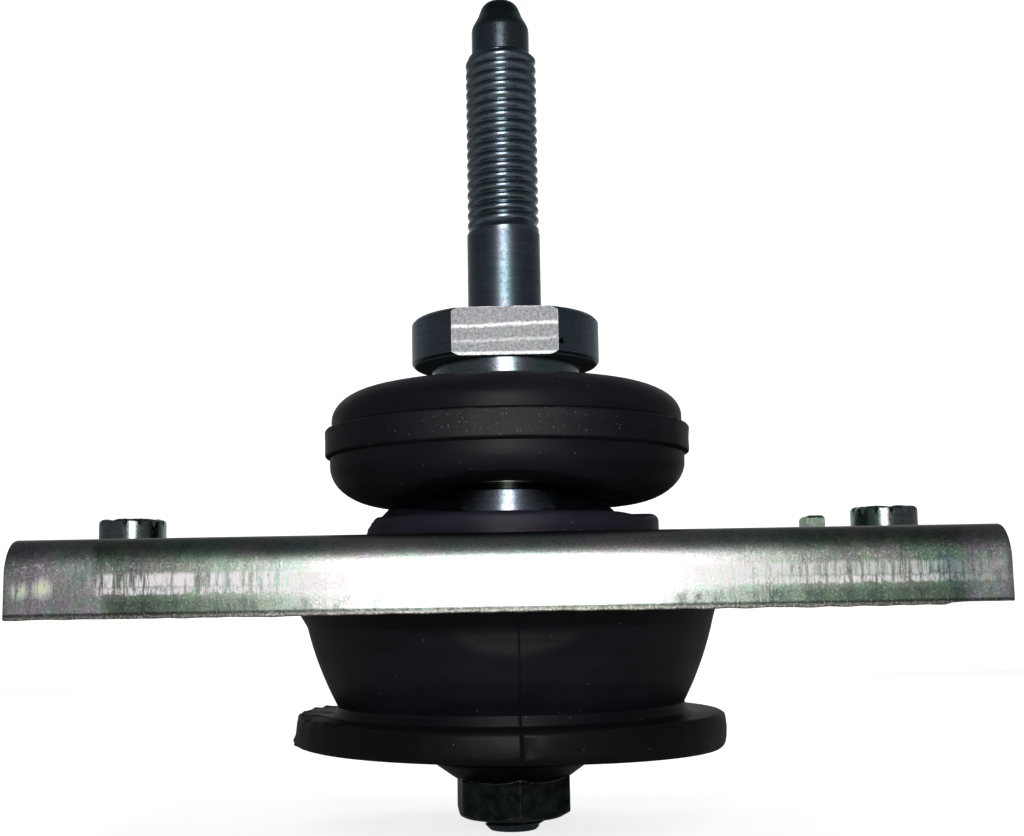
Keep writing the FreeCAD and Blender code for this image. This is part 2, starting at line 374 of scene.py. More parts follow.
def make_stud():
    shoulder = DISC_TOP + 0.5
    core_r = PILOT_R - OVERLAP
    end_r = NUT_THREAD_R - 1.2
    bar = turned("stud_body", [
        (0, STUD_BOTTOM + 1), (end_r, STUD_BOTTOM + 1), (end_r, shoulder),
        (SHANK_R, shoulder), (SHANK_R, THREAD_BOTTOM), (core_r, THREAD_BOTTOM + OVERLAP),
        (core_r, THREAD_TOP - OVERLAP), (PILOT_R, THREAD_TOP - OVERLAP),
        (PILOT_R, STUD_TOP - 4.7, 0.6), (3.8, STUD_TOP - NOSE, 0.2), (3.1, STUD_TOP - 0.8, 0.5),
        (2.3, STUD_TOP, 0.4), (0, STUD_TOP)], steps=THREAD_STEPS)
    combine(bar, make_collar(), "UNION")
    upper = threaded_bar("upper_thread", THREAD_R, THREAD_PITCH, THREAD_BOTTOM - OVERLAP,
                         THREAD_TOP, run_out=2.2, chamfer=0.8, depth=FILLED_DEPTH, crest=0.32,
                         rounding=0.12)
    combine(bar, upper, "UNION")
    lower = threaded_bar("lower_thread", NUT_THREAD_R, NUT_THREAD_PITCH, -shoulder - OVERLAP,
                         -STUD_BOTTOM, chamfer=1.3)
    reshape(lower, lambda co: Vector((co.x, -co.y, -co.z)))
    combine(bar, lower, "UNION")
    clean(bar)
    smooth(bar, 35)
    declare(bar, "stud")
    return bar


stud = make_stud()

# %% [markdown]
# ## Steel rings round the stud
# The washer, the snubber's bush, the long sleeve and the foot's disc are plain turned rings.
# What makes them look real is the tiny broken edge that every machined ring has, which catches
# the light.

# %% Washer, bush, sleeve and disc
RING_BORE_R = SHANK_R + 0.15
EDGE_BREAK = 0.22


def make_ring(name, node, inner_r, outer_r, bottom, top, steps=96):
    corners = ((inner_r, bottom), (outer_r, bottom), (outer_r, top), (inner_r, top))
    ring = turned(name, [(*corner, EDGE_BREAK) for corner in corners], steps, hollow=True)
    smooth(ring, 32)
    declare(ring, node)
    return ring


def make_bush():
    """The snubber's bush, with the thin bead round its lower end."""
    bead_low = CORE_BOTTOM + 0.95
    bead_high = bead_low + 0.75
    neck_r = SLEEVE_R - 0.9
    bush = turned("snubber_bush", [
        (RING_BORE_R, CORE_BOTTOM, EDGE_BREAK), (neck_r, CORE_BOTTOM), (neck_r, bead_low),
        (CORE_LIP_R - 0.07, bead_low, 0.12), (CORE_LIP_R, bead_high, 0.2), (SLEEVE_R, bead_high),
        (SLEEVE_R, SNUBBER_TOP), (RING_BORE_R, SNUBBER_TOP)], hollow=True)
    smooth(bush, 45)
    declare(bush, "snubber_core")
    return bush


washer = make_ring("collar_washer", "thrust_washer", RING_BORE_R, WASHER_R, SNUBBER_TOP,
                   COLLAR_BOTTOM)
bush = make_bush()
sleeve = make_ring("centre_sleeve", "inner_sleeve", RING_BORE_R, SLEEVE_R, DISC_TOP,
                   CORE_BOTTOM)
disc = make_ring("foot_disc", "support_disc", NUT_THREAD_R + 0.15, DISC_R, DISC_BOTTOM,
                 DISC_TOP, 128)

# %% [markdown]
# ## The snubber ring
# The ring is moulded in two halves of a tool. Where the halves meet there is a raised belt with
# a fine groove at each edge. Its section is turned like the steel, and then vertex moves hollow
# the shallow arch across its underside and pull out the small scraps of flash that were left on
# the belt.

# %% Snubber ring
SHOULDER_R = 28.7
TOP_FLAT_R = 12.8
SHOULDER_START_R = 21.5
SHOULDER_START = SNUBBER_TOP - 1.3
SHOULDER_DROP = 4.85
BELT_TOP = SNUBBER_TOP - 7.7
BELT_BOTTOM = BELT_TOP - 4.4
LOWER_R = 29.0
FOOT_START_R = 19.5
LOWER_RISE = 6.5
ARCH_R = 58.0
ARCH_CROWN = SNUBBER_BOTTOM + 3.35
POCKET_R = 13.0
POCKET_TOP = SNUBBER_BOTTOM + 4.2


def oval(centre_r, centre_z, reach, rise, start, end, count):
    """Points along an oval quarter, from one angle to the other."""
    angles = [math.radians(start + (end - start) * i / count) for i in range(count + 1)]
    return [(centre_r + reach * math.cos(a), centre_z + rise * math.sin(a)) for a in angles]


def wobble(co, scale, seed):
    """Smooth noise between about -1 and 1, for the unevenness of moulded and sheared parts."""
    return noise.noise(Vector(co) * scale + Vector((seed, 0, 0))) * 1.6


def arch_height(co):
    """Height of the arch across the underside. The far half is moulded half a millimetre lower."""
    crown = ARCH_CROWN - ARCH_R + math.sqrt(ARCH_R ** 2 - co.x ** 2)
    return crown - 0.5 * ramp(co.y, 3.0, 3.0)


def make_snubber():
    groove = 0.12
    shoulder = oval(SHOULDER_START_R, SHOULDER_START - SHOULDER_DROP, SHOULDER_R - SHOULDER_START_R,
                    SHOULDER_DROP, 80, 0, 12)
    lower = oval(FOOT_START_R, SNUBBER_BOTTOM + LOWER_RISE, LOWER_R - FOOT_START_R, LOWER_RISE,
                 0, -90, 12)
    underside = [(radius, SNUBBER_BOTTOM) for radius in (18, 16.5, 15, 14)]
    ring = turned("snubber_ring", [
        (SLEEVE_R, POCKET_TOP), (SLEEVE_R, SNUBBER_TOP), (TOP_FLAT_R, SNUBBER_TOP),
        (15.5, SNUBBER_TOP - 0.35), (18.5, SNUBBER_TOP - 0.85), *shoulder,
        (SHOULDER_R, BELT_TOP + 0.3), (SHOULDER_R - groove, BELT_TOP + 0.15),
        (SHOULDER_R + 0.1, BELT_TOP),
        (BELT_R, BELT_TOP - 0.05, 0.35), (BELT_R - 0.05, (BELT_TOP + BELT_BOTTOM) / 2),
        (BELT_R, BELT_BOTTOM + 0.05, 0.35), (LOWER_R + 0.1, BELT_BOTTOM),
        (LOWER_R - groove, BELT_BOTTOM - 0.15), (LOWER_R, BELT_BOTTOM - 0.3),
        *lower, *underside, (POCKET_R, SNUBBER_BOTTOM, 0.6), (POCKET_R, POCKET_TOP, 0.6)],
        steps=192, hollow=True)

    def arch_and_flash(co):
        crown = arch_height(co)
        radius = math.hypot(co.x, co.y)
        height = co.z
        if co.z < crown and radius > POCKET_R - 0.7:
            height = crown - 0.12 * (crown - co.z)
        grow = 1 + 0.0012 * wobble(co, 0.13, 3.0)
        if radius > BELT_R - 0.3 and BELT_BOTTOM - 0.2 < co.z < BELT_TOP + 0.2:
            edge = min(1.0, abs(co.z - (BELT_TOP + BELT_BOTTOM) / 2) / 2.1) ** 6
            scraps = max(0.0, wobble(co, 0.42, 7.0) - 0.28)
            grow += edge * 0.022 * scraps
        return Vector((co.x * grow, co.y * grow, height))

    reshape(ring, arch_and_flash)
    smooth(ring, 38)
    declare(ring, "snubber_rubber")
    return ring


snubber = make_snubber()

# %% [markdown]
# ## The main rubber
# One moulding passes through the plate: a pad on top, a neck in the plate's hole, a wide base
# inside the channel, a cone, and a foot flange round a steel disc. The outline is turned. The
# mould's parting line is a fine raised seam: three close cuts give it vertices to rise from.

# %% Sizes and outline of the main rubber
SHEET = 3.0
PLATE_BORE_R = 17.0
PAD_R = 24.5
PAD_LEDGE = 4.35
HUMP_RISE = 1.3
SADDLE_R = 105.0
FRONT_FALL = 0.6               # the pad is lower toward its front and rear rim
RIGHT_FALL = 0.35
HUMP_ENDS = (19.9, 16.3)       # radii where the left and the right hump start to fall
REAR_HUMP_TOP = PAD_LEDGE + 3.7
REAR_GAP = 0.06                # left between the rear humps and the snubber's arch
FACET_INSET = 0.9
FACET_SLOPE = 1.136
FACET_END = 18.9               # the slant stops here and the hump's side rises straight
BASE_R = high("main_rubber").x
BASE_BOTTOM = -10.0
CONE_TOP_R, CONE_TOP = 32.5, -13.2
CONE_FOOT_R = 27.7
CONE_BULGE = 0.45
FOOT_R = 34.0
FOOT_TOP = DISC_BOTTOM + 3.9
SEAM_X = 1.35                  # the parting line, a little right of the middle
SEAM_HALF_WIDTH = 0.16
SEAM_HEIGHT = 0.14


def cone_side(count):
    """Points down the cone's slightly swollen side."""
    fall = FOOT_TOP + 2.0 - CONE_TOP
    shares = [i / count for i in range(count + 1)]
    return [(CONE_TOP_R + (CONE_FOOT_R - CONE_TOP_R) * t + CONE_BULGE * 4 * t * (1 - t),
             CONE_TOP + fall * t) for t in shares]


def add_seam(body):
    """Three close cuts down the front and the back, for the seam to rise from."""
    for offset in (-SEAM_HALF_WIDTH, 0.0, SEAM_HALF_WIDTH):
        edit(body)
        select_where(body, "faces", lambda co: co.z < BASE_BOTTOM + 0.5 and abs(co.x) < 6)
        bpy.ops.mesh.bisect(plane_co=((SEAM_X + offset) * MM, 0, 0), plane_no=(1, 0, 0),
                            threshold=0.0001 * MM)
        bpy.ops.object.mode_set(mode="OBJECT")


print("cone from", round(CONE_TOP, 2), "to", round(FOOT_TOP, 2), "mm")

# %% [markdown]
# ## The rubber's uneven forms
# Turning gives a perfectly round moulding, and the real one isn't. Above the plate the pad has two
# humps, a slanted left side and a fall toward its rim. Below it the cone has a seam and a dent, and
# the flange a drooping lip, raised flash on its left and a nick. Each is a short rule for a place.

# %% Main rubber


def shape_pad(co):
    """The pad on the plate falls toward its rim, has two humps, and is slanted on its left."""
    x, y, z = co
    radius = math.hypot(x, y)
    if radius > SLEEVE_R + 0.2:
        fall = FRONT_FALL * ramp(abs(y), 5.0, 6.0) + RIGHT_FALL * ramp(x, 17.0, 3.0)
        z -= fall * z / PAD_LEDGE
        if abs(co.z - PAD_LEDGE) < 0.01:
            slope = 1 - ramp(radius, HUMP_ENDS[x > 0], 1.5)
            z += min(HUMP_RISE, x * x / (2 * SADDLE_R)) * slope
            ceiling = min(arch_height(co) - REAR_GAP, REAR_HUMP_TOP)
            z += max(0.0, ceiling - z) * ramp(y, 3.0, 3.0) * slope
    facet = max(PAD_R - FACET_INSET - z / FACET_SLOPE, FACET_END)
    return Vector((max(x, -facet), y, z))


def cone_relief(co):
    """How far the base and the cone stand out: a seam, and a shallow dent with a swollen rim."""
    x, y, z = co
    radius = math.hypot(x, y)
    outward = 0.0
    if CONE_TOP + 0.1 < z < BASE_BOTTOM + 0.6 and radius > BASE_R - 1:
        outward -= 0.9 * (max(0.0, x) / BASE_R) ** 2
    if z < BASE_BOTTOM and radius > CONE_FOOT_R - 1:
        if abs(x - SEAM_X) < 0.01:
            outward += SEAM_HEIGHT
        if y < 0:
            dent = ((x - 1) / 9.0) ** 2 + ((z + 12.5) / 4.2) ** 2
            outward -= 0.6 * math.exp(-dent * 1.3) - 0.3 * math.exp(-((dent - 1.3) / 0.35) ** 2)
    return outward


def rim_relief(co, z):
    """How far the foot flange's rim stands out: it is uneven, ragged on its left and nicked."""
    x, y = co.x, co.y
    ragged = max(0.0, -x / FOOT_R - 0.8) * 5 * max(0.0, (FOOT_TOP - 1.2 - z) / 2.5)
    outward = 0.1 * wobble(co, 0.35, 11.0) + 0.55 * ragged * (1 + 0.6 * wobble(co, 0.8, 17.0))
    if y < 0:
        nick = ((x - 2.4) / 0.7) ** 2 + ((z - DISC_BOTTOM - 1.6) / 0.9) ** 2
        outward -= 0.7 * math.exp(-nick)
    return outward


def shape_below(co):
    """Below the plate: the dented cone and the foot flange, whose lip and flash are uneven."""
    x, y, z = co
    radius = math.hypot(x, y)
    if radius > DISC_R + 0.3 and z < DISC_BOTTOM + 1.0:
        lip = ramp(radius, DISC_R + 0.3, 1.5) * (1 - ramp(z, DISC_BOTTOM + 0.1, 0.9))
        z -= lip * (0.3 + (0.85 if x > 0 else 0.3) * x / FOOT_R)
    if radius > CONE_FOOT_R + 1.5 and FOOT_TOP - 1.0 < z < FOOT_TOP + 0.1:
        flash = max(0.0, -x / FOOT_R - 0.3) * (1 + 0.5 * wobble(co, 0.6, 29.0))
        z += 0.4 * ramp(radius, 29.0, 2.0) + 0.9 * flash
    outward = cone_relief(co)
    if radius > FOOT_R - 0.6 and z < FOOT_TOP + 0.1:
        outward += rim_relief(co, z)
    grow = 1 + outward / max(radius, 1)
    return Vector((x * grow, y * grow, z))


def make_main_rubber():
    pad_rings = [(radius, PAD_LEDGE) for radius in
                 (9.5, 11, 12.5, 14, 15.2, 16.3, 17.0, 17.8, 18.8, 19.9, 20.7, 21.4, 22.3)]
    body = turned("rubber_body", [
        (SLEEVE_R, DISC_TOP), (SLEEVE_R, PAD_LEDGE), *pad_rings, (PAD_R, PAD_LEDGE, 1.2),
        (PAD_R, PAD_LEDGE / 2), (PAD_R, 0), (PLATE_BORE_R, 0), (PLATE_BORE_R, -SHEET),
        (BASE_R, -SHEET), (BASE_R, BASE_BOTTOM, 0.5), *cone_side(14),
        (CONE_FOOT_R + 0.6, FOOT_TOP + 0.6), (CONE_FOOT_R + 2.0, FOOT_TOP),
        (31.5, FOOT_TOP), (FOOT_R, FOOT_TOP, 0.9), (FOOT_R + 0.15, FOOT_TOP - 1.9),
        (FOOT_R, DISC_BOTTOM, 0.9), (DISC_R, DISC_BOTTOM), (DISC_R, DISC_TOP)],
        steps=216, hollow=True)
    add_seam(body)
    reshape(body, lambda co: shape_pad(co) if co.z > 0.01 else shape_below(co))
    smooth(body, 40)
    declare(body, "main_rubber")
    return body


main_rubber = make_main_rubber()

# %% [markdown]
# ## The channel plate
# The plate is folded from one flat sheet, so we start from a flat grid of the sheet's developed
# size, fold its two long sides round the bend radius, and give it thickness with Solidify. The
# ends bulge gently between the flanges, and a shear has left the free edges a little uneven.

# %% Channel plate
BEND_R = 5.0
FLANGE_END = 68.0
FLAT_HALF = PLATE_SIDE - BEND_R
BEND_LENGTH = BEND_R * math.pi / 2
SHEET_HALF = FLAT_HALF + BEND_LENGTH - PLATE_EDGE - BEND_R
EDGE_STEP_X = 58.5             # beyond this the right-hand edge is sheared a little shorter
EDGE_STEP = 0.35
PLATE_NUT_R = 5.35
PLATE_NUT_X = high("right_plate_nut").x - PLATE_NUT_R
PLATE_NUT_SHANK_R = 4.6
TAB_X = 49.7
TAB_WIDTH = 6.0


def fold(co):
    """Carries a point of the flat blank to its place on the channel's outer face."""
    along, across = co.x, abs(co.y)
    side = 1 if co.y > 0 else -1
    ear = (PLATE_END - FLANGE_END) * max(0.0, 1 - (across / FLAT_HALF) ** 2)
    along *= 1 + ear / FLANGE_END
    if across <= FLAT_HALF:
        return Vector((along, side * across, 0))
    bend = (across - FLAT_HALF) / BEND_R
    if bend < math.pi / 2:
        return Vector((along, side * (FLAT_HALF + BEND_R * math.sin(bend)),
                       BEND_R * (math.cos(bend) - 1)))
    drop = across - FLAT_HALF - BEND_LENGTH
    full = -PLATE_EDGE - BEND_R
    shear = 0.1 * wobble(Vector((along, side * 40, 0)), 0.33, 23.0)
    if side < 0:
        shear += EDGE_STEP * ramp(along, EDGE_STEP_X, 0.6)
    return Vector((along, side * PLATE_SIDE, -BEND_R - drop * (full - shear) / full))


def make_cutter(kind, place, size):
    """A closed box or round bar that a Boolean takes away."""
    clear_selection()
    centre = Vector(place) * MM
    if kind == "box":
        bpy.ops.mesh.primitive_cube_add(size=1, location=centre)
        bpy.context.object.scale = Vector(size) * MM
    else:
        bpy.ops.mesh.primitive_cylinder_add(vertices=64, radius=size[0] * MM, depth=size[1] * MM,
                                            location=centre)
    bpy.ops.object.transform_apply(location=True, rotation=True, scale=True)
    return bpy.context.object


def make_tab():
    """The locating tab, bent up out of the sheet with a rounded top."""
    height = TAB_TOP + SHEET / 2
    tab = make_cutter("box", (TAB_X, 0, TAB_TOP - height / 2), (SHEET, TAB_WIDTH, height))
    edit(tab)
    select_where(tab, "edges", lambda co: co.z > TAB_TOP - 0.1)
    bpy.ops.mesh.bevel(offset=0.6 * MM, segments=4)
    bpy.ops.object.mode_set(mode="OBJECT")
    return tab


def make_plate():
    clear_selection()
    bpy.ops.mesh.primitive_grid_add(x_subdivisions=160, y_subdivisions=124, size=2 * MM)
    plate = bpy.context.object
    plate.name = plate.data.name = "channel_plate"
    reshape(plate, lambda co: Vector((co.x * FLANGE_END, co.y * SHEET_HALF, 0)))
    reshape(plate, fold)
    apply_modifier(plate, "SOLIDIFY", "sheet", thickness=SHEET * MM, offset=-1,
                   use_even_offset=True)
    break_edges(plate, 0.22, 50)
    window = TAB_TOP + 0.4
    left = TAB_X - SHEET / 2
    for x, radius in ((0, PLATE_BORE_R), (-PLATE_NUT_X, PLATE_NUT_SHANK_R),
                      (PLATE_NUT_X, PLATE_NUT_SHANK_R)):
        hole = make_cutter("bar", (x, 0, -SHEET / 2), (radius, 2 * SHEET))
        combine(plate, hole, "DIFFERENCE")
    combine(plate, make_cutter("box", (left - window / 2, 0, -SHEET / 2),
                               (window, TAB_WIDTH + 0.8, 2 * SHEET)), "DIFFERENCE")
    combine(plate, make_tab(), "UNION")
    smooth(plate, 30)
    declare(plate, "mounting_plate")
    return plate


plate = make_plate()

# %% [markdown]
# ## The plate nuts
# Two round nuts are pressed into the plate. The press left a crown of dents round the upper
# rim. One notch is modelled and carried round the nut by spin, and the whole crown is cut at
# once. The thread inside is cut with the same threaded bar that made the stud. The second nut
# is a copy.

# %% Plate nuts
PLATE_NUT_TOP = high("left_plate_nut").z
PLATE_NUT_THREAD_R = 4.0
PLATE_NUT_PITCH = 1.25
NOTCHES = 14


def make_notches():
    notch = make_cutter("box", (0, 0, 0), (1.1, 1.1, 2.6))
    notch.name = "notches"
    turn(notch, 45, "Z")
    turn(notch, -28, "Y")
    reshape(notch, lambda co: co + Vector((PLATE_NUT_R + 0.1, 0, PLATE_NUT_TOP)))
    edit(notch)
    bpy.ops.mesh.select_all(action="SELECT")
    bpy.ops.mesh.spin(steps=NOTCHES - 1, angle=math.tau * (NOTCHES - 1) / NOTCHES, dupli=True,
                      center=(0, 0, 0), axis=(0, 0, 1))
    bpy.ops.object.mode_set(mode="OBJECT")
    clean(notch)
    return notch


def make_plate_nut():
    bore = PLATE_NUT_THREAD_R - THREAD_DEPTH * PLATE_NUT_PITCH - 0.02
    nut = turned("left_clinch_nut", [
        (bore, -SHEET, 0.2), (PLATE_NUT_SHANK_R, -SHEET, 0.3), (PLATE_NUT_SHANK_R, 0),
        (PLATE_NUT_R, 0, 0.15), (PLATE_NUT_R, PLATE_NUT_TOP, 0.6),
        (PLATE_NUT_THREAD_R + 0.2, PLATE_NUT_TOP, 0.2), (bore, PLATE_NUT_TOP - 0.8)],
        steps=84, hollow=True)
    combine(nut, make_notches(), "DIFFERENCE")
    tap = threaded_bar("tap", PLATE_NUT_THREAD_R, PLATE_NUT_PITCH, -SHEET - 1, PLATE_NUT_TOP + 1)
    combine(nut, tap, "DIFFERENCE")
    clean(nut)
    reshape(nut, upset_rim)
    smooth(nut, 35)
    return nut


def upset_rim(co):
    """The press squashed the rim unevenly."""
    above = max(0.0, co.z - (PLATE_NUT_TOP - 0.8))
    return co - Vector((0, 0, above * 0.5 * abs(wobble(co, 0.45, 5.0))))


def place_plate_nuts():
    left = make_plate_nut()
    right = left.copy()
    right.data = left.data.copy()
    right.name = "right_clinch_nut"
    bpy.context.scene.collection.objects.link(right)
    for nut, side, name in ((left, -1, "left_plate_nut"), (right, 1, "right_plate_nut")):
        turn(nut, math.degrees(0.2 * side))
        reshape(nut, lambda co: co + Vector((side * PLATE_NUT_X, 0, 0)))
        declare(nut, name)
    return left, right


plate_nuts = place_plate_nuts()

# %% [markdown]
# ## The hexagon nut
# A six-sided prism meets a turned washer face. The corners of the free side are turned to a
# cone, which gives every hexagon nut its curved facets: the prism is simply intersected with a
# turned limit.

# %% Hexagon nut
HEX_ACROSS_FLATS = 17.0
HEX_TURN = 7.0
NUT_END = NUT_BOTTOM - 0.85    # the photo shows the nut this much longer than the solid
FACE_BOTTOM = DISC_BOTTOM - 3.0
HEX_TOP = FACE_BOTTOM - 2.6


def make_hexagon_nut():
    corner_r = HEX_ACROSS_FLATS / 2 / math.cos(math.radians(30))
    depth = HEX_TOP + 1 - NUT_END
    middle = (0, 0, (NUT_END + depth / 2) * MM)
    clear_selection()
    bpy.ops.mesh.primitive_cylinder_add(vertices=6, radius=corner_r * MM, depth=depth * MM,
                                        location=middle)
    bpy.ops.object.transform_apply(location=True)
    prism = bpy.context.object
    turn(prism, HEX_TURN)
    limit = turned("limit", [(0, NUT_END), (corner_r - 1.9, NUT_END),
                             (corner_r + 1.2, NUT_END + 1.7), (corner_r + 1.2, HEX_TOP + 2),
                             (0, HEX_TOP + 2)])
    combine(prism, limit, "INTERSECT")
    break_edges(prism, 0.16, 20)
    nut = turned("hexagon_nut", [
        (0, DISC_BOTTOM), (NUT_FACE_R, DISC_BOTTOM, 0.3), (NUT_FACE_R, FACE_BOTTOM, 0.5),
        (9.3, HEX_TOP, 0.5), (8.2, HEX_TOP - 0.5), (0, HEX_TOP - 0.5)])
    combine(nut, prism, "UNION")
    bore_r = NUT_THREAD_R - 0.1
    bore = turned("bore", [(0, DISC_BOTTOM + 1), (bore_r, DISC_BOTTOM + 1),
                           (bore_r, NUT_END + 0.8), (bore_r + 0.9, NUT_END - 0.1),
                           (0, NUT_END - 0.1)])
    combine(nut, bore, "DIFFERENCE")
    smooth(nut, 30)
    declare(nut, "flange_nut")
    return nut


hexagon_nut = make_hexagon_nut()

# %% [markdown]
# ## Painting with nodes
# Every finish is worked out from the surface's own coordinates, so it has no image files and
# keeps its place when the part is turned. A node's output is wrapped together with its tree, so
# that sums and products of masks are written like plain arithmetic and add the Math nodes that
# they need.

# %% A value that runs through a shader
IN_MM = (1000, 1000, 1000)     # stretches metres to millimetres
MIX_INPUTS = (0, 6, 7)         # a Mix node's sockets for the factor and two colours
MIX_RESULT = 2


class Value:
    """What a node gives: a number, colour, place or direction that changes over the surface."""

    def __init__(self, tree, socket):
        self.tree, self.socket = tree, socket

    def math(self, operation, other=0.0, clamp=False):
        made = node(self.tree, "Math", {"operation": operation, "use_clamp": clamp})
        feed(made.inputs[0], self)
        feed(made.inputs[1], other)
        return Value(self.tree, made.outputs[0])

    def __add__(self, other):
        return self.math("ADD", other)

    def __sub__(self, other):
        return self.math("SUBTRACT", other)

    def __mul__(self, other):
        return self.math("MULTIPLY", other)

    def __abs__(self):
        return self.math("ABSOLUTE")

    def larger(self, other):
        return self.math("MAXIMUM", other)

    def smaller(self, other):
        return self.math("MINIMUM", other)

    def spread(self, low_in, high_in, low_out=0.0, high_out=1.0):
        """Carries one range of values to another and stops at its ends."""
        return output(self.tree, "MapRange", Value=self, From_Min=low_in, From_Max=high_in,
                      To_Min=low_out, To_Max=high_out)

    def noise(self, scale, detail=3.0, roughness=0.55):
        return output(self.tree, "TexNoise", "Fac", Vector=self, Scale=scale, Detail=detail,
                      Roughness=roughness)

    def parts(self):
        """The three parts of a place or a direction."""
        made = node(self.tree, "SeparateXYZ", Vector=self)
        return [Value(self.tree, socket) for socket in made.outputs]

    def measure(self, operation, other=(0, 0, 0)):
        """A length, a distance or a dot product."""
        made = node(self.tree, "VectorMath", {"operation": operation})
        feed(made.inputs[0], self)
        feed(made.inputs[1], other)
        return Value(self.tree, made.outputs["Value"])

    def sibling(self, label):
        """Another output of the same node."""
        return Value(self.tree, self.socket.node.outputs[label])


def feed(socket, value):
    """Links a value to a socket, or sets it there. A colour is written as three numbers."""
    if isinstance(value, Value):
        value.tree.links.new(value.socket, socket)
    else:
        socket.default_value = (*value, 1) if socket.type == "RGBA" else value


def node(tree, kind, settings=None, **inputs):
    """Adds a node. Settings are its properties, and inputs go to the sockets of those names."""
    made = tree.nodes.new("ShaderNode" + kind)
    for key, value in (settings or {}).items():
        setattr(made, key, value)
    for key, value in inputs.items():
        feed(made.inputs[key.replace("_", " ")], value)
    return made


def output(tree, kind, which=0, settings=None, **inputs):
    """Adds a node and gives one of its outputs."""
    return Value(tree, node(tree, kind, settings, **inputs).outputs[which])


def mix(factor, first, second, blend="MIX"):
    tree = next(given.tree for given in (factor, first, second) if isinstance(given, Value))
    made = node(tree, "Mix", {"data_type": "RGBA", "blend_type": blend})
    for place, given in zip(MIX_INPUTS, (factor, first, second)):
        feed(made.inputs[place], given)
    return Value(tree, made.outputs[MIX_RESULT])


# %% [markdown]
# ## Masks, groups and materials
# A mask is a value between 0 and 1 that says where a colour or a gloss goes. An effect that
# several finishes use is a node group with named inputs, placed in each material with its own
# values. The shader itself stays in the material.

# %% Helpers for masks, groups and materials


def surface(tree, stretch=(1, 1, 1)):
    """Object coordinates, stretched so that a noise turns into streaks or rings."""
    place = output(tree, "TexCoord", "Object")
    return output(tree, "Mapping", Vector=place, Scale=stretch)


def bump(height, strength, distance):
    """Turns a height into a normal."""
    return output(height.tree, "Bump", Height=height, Strength=strength, Distance=distance)


def band(value, centre, half_width):
    """1 at the centre, falling to 0 at half a width away."""
    return abs(value - centre).spread(0.0, half_width, 1.0, 0.0)


def spot(tree, place, radius, core=0.7):
    """1 in the core of a small ball round a place given in millimetres, and 0 outside it."""
    away = surface(tree, IN_MM).measure("DISTANCE", place)
    return away.spread(radius * core, radius, 1.0, 0.0)


def new_group(name, inputs, outputs):
    """An empty node group with named sockets. Gives the group, its inputs and its end node."""
    group = bpy.data.node_groups.new(name, "ShaderNodeTree")
    for label, kind, value in inputs:
        socket = group.interface.new_socket(label, in_out="INPUT", socket_type="NodeSocket" + kind)
        socket.default_value = value
    for label, kind in outputs:
        group.interface.new_socket(label, in_out="OUTPUT", socket_type="NodeSocket" + kind)
    start = group.nodes.new("NodeGroupInput")
    end = group.nodes.new("NodeGroupOutput")
    print("node group", name)
    return group, {label: Value(group, start.outputs[label]) for label, _, _ in inputs}, end


def use_group(tree, group, **values):
    """Places a group and gives its first output."""
    made = node(tree, "Group", {"node_tree": group}, **values)
    return Value(tree, made.outputs[0])


def new_material(name):
    material = bpy.data.materials.new(name)
    material.use_nodes = True
    material.node_tree.nodes.clear()
    return material, material.node_tree


def finish(material, **inputs):
    """Feeds a Principled shader and joins it to the material's output."""
    tree = material.node_tree
    node(tree, "OutputMaterial", Surface=output(tree, "BsdfPrincipled", **inputs))
    print("material", material.name)
    return material


def paint(piece, material):
    piece.data.materials.clear()
    piece.data.materials.append(material)


# %% [markdown]
# ## Effects that several finishes share
# Passivated zinc shows thin rainbow clouds. Turned and drawn steel shows fine parallel lines.
# Sharp edges lose their coating first, and a used part gathers specks of dust. Each effect is
# one group with its own controls, and the materials place it at their own scale.

# %% Shared effects
CLOUD_HUES = ((0.30, (0.66, 0.80, 1.0)), (0.41, (0.78, 1.0, 0.86)), (0.49, (1.0, 0.98, 0.88)),
              (0.56, (1.0, 0.80, 0.92)), (0.64, (0.80, 1.0, 0.84)), (0.72, (1.0, 0.93, 0.70)))


def make_passivation():
    """Thin clouds of green, rose and straw over a grey metal."""
    group, given, end = new_group("passivation_clouds", [
        ("Metal", "Color", (0.6, 0.6, 0.6, 1)), ("Amount", "Float", 0.5), ("Scale", "Float", 60.0),
        ("Stretch", "Vector", (1, 1, 1))], [("Color", "Color"), ("Cloud", "Float")])
    cloud = surface(group, given["Stretch"]).noise(given["Scale"], 5.0, 0.6)
    hue = output(group, "ValToRGB", Fac=cloud)
    stops = hue.socket.node.color_ramp.elements
    stops[0].position, stops[1].position = CLOUD_HUES[0][0], CLOUD_HUES[-1][0]
    for position, _ in CLOUD_HUES[1:-1]:
        stops.new(position)
    for stop, (_, colour) in zip(stops, CLOUD_HUES):
        stop.color = (*colour, 1)
    tinted = mix(1.0, given["Metal"], hue, "MULTIPLY")
    feed(end.inputs["Color"], mix(given["Amount"], given["Metal"], tinted))
    feed(end.inputs["Cloud"], cloud)
    return group


def make_tool_lines():
    """Fine parallel lines: rings on turned steel and streaks on drawn sheet."""
    group, given, end = new_group("tool_lines", [
        ("Stretch", "Vector", (1, 1, 1)), ("Scale", "Float", 400.0), ("Contrast", "Float", 1.0)],
        [("Lines", "Float")])
    fine = surface(group, given["Stretch"]).noise(given["Scale"], 4.0, 0.7)
    lines = ((fine - 0.5) * given["Contrast"]).math("ADD", 0.5, clamp=True)
    feed(end.inputs["Lines"], lines)
    return group


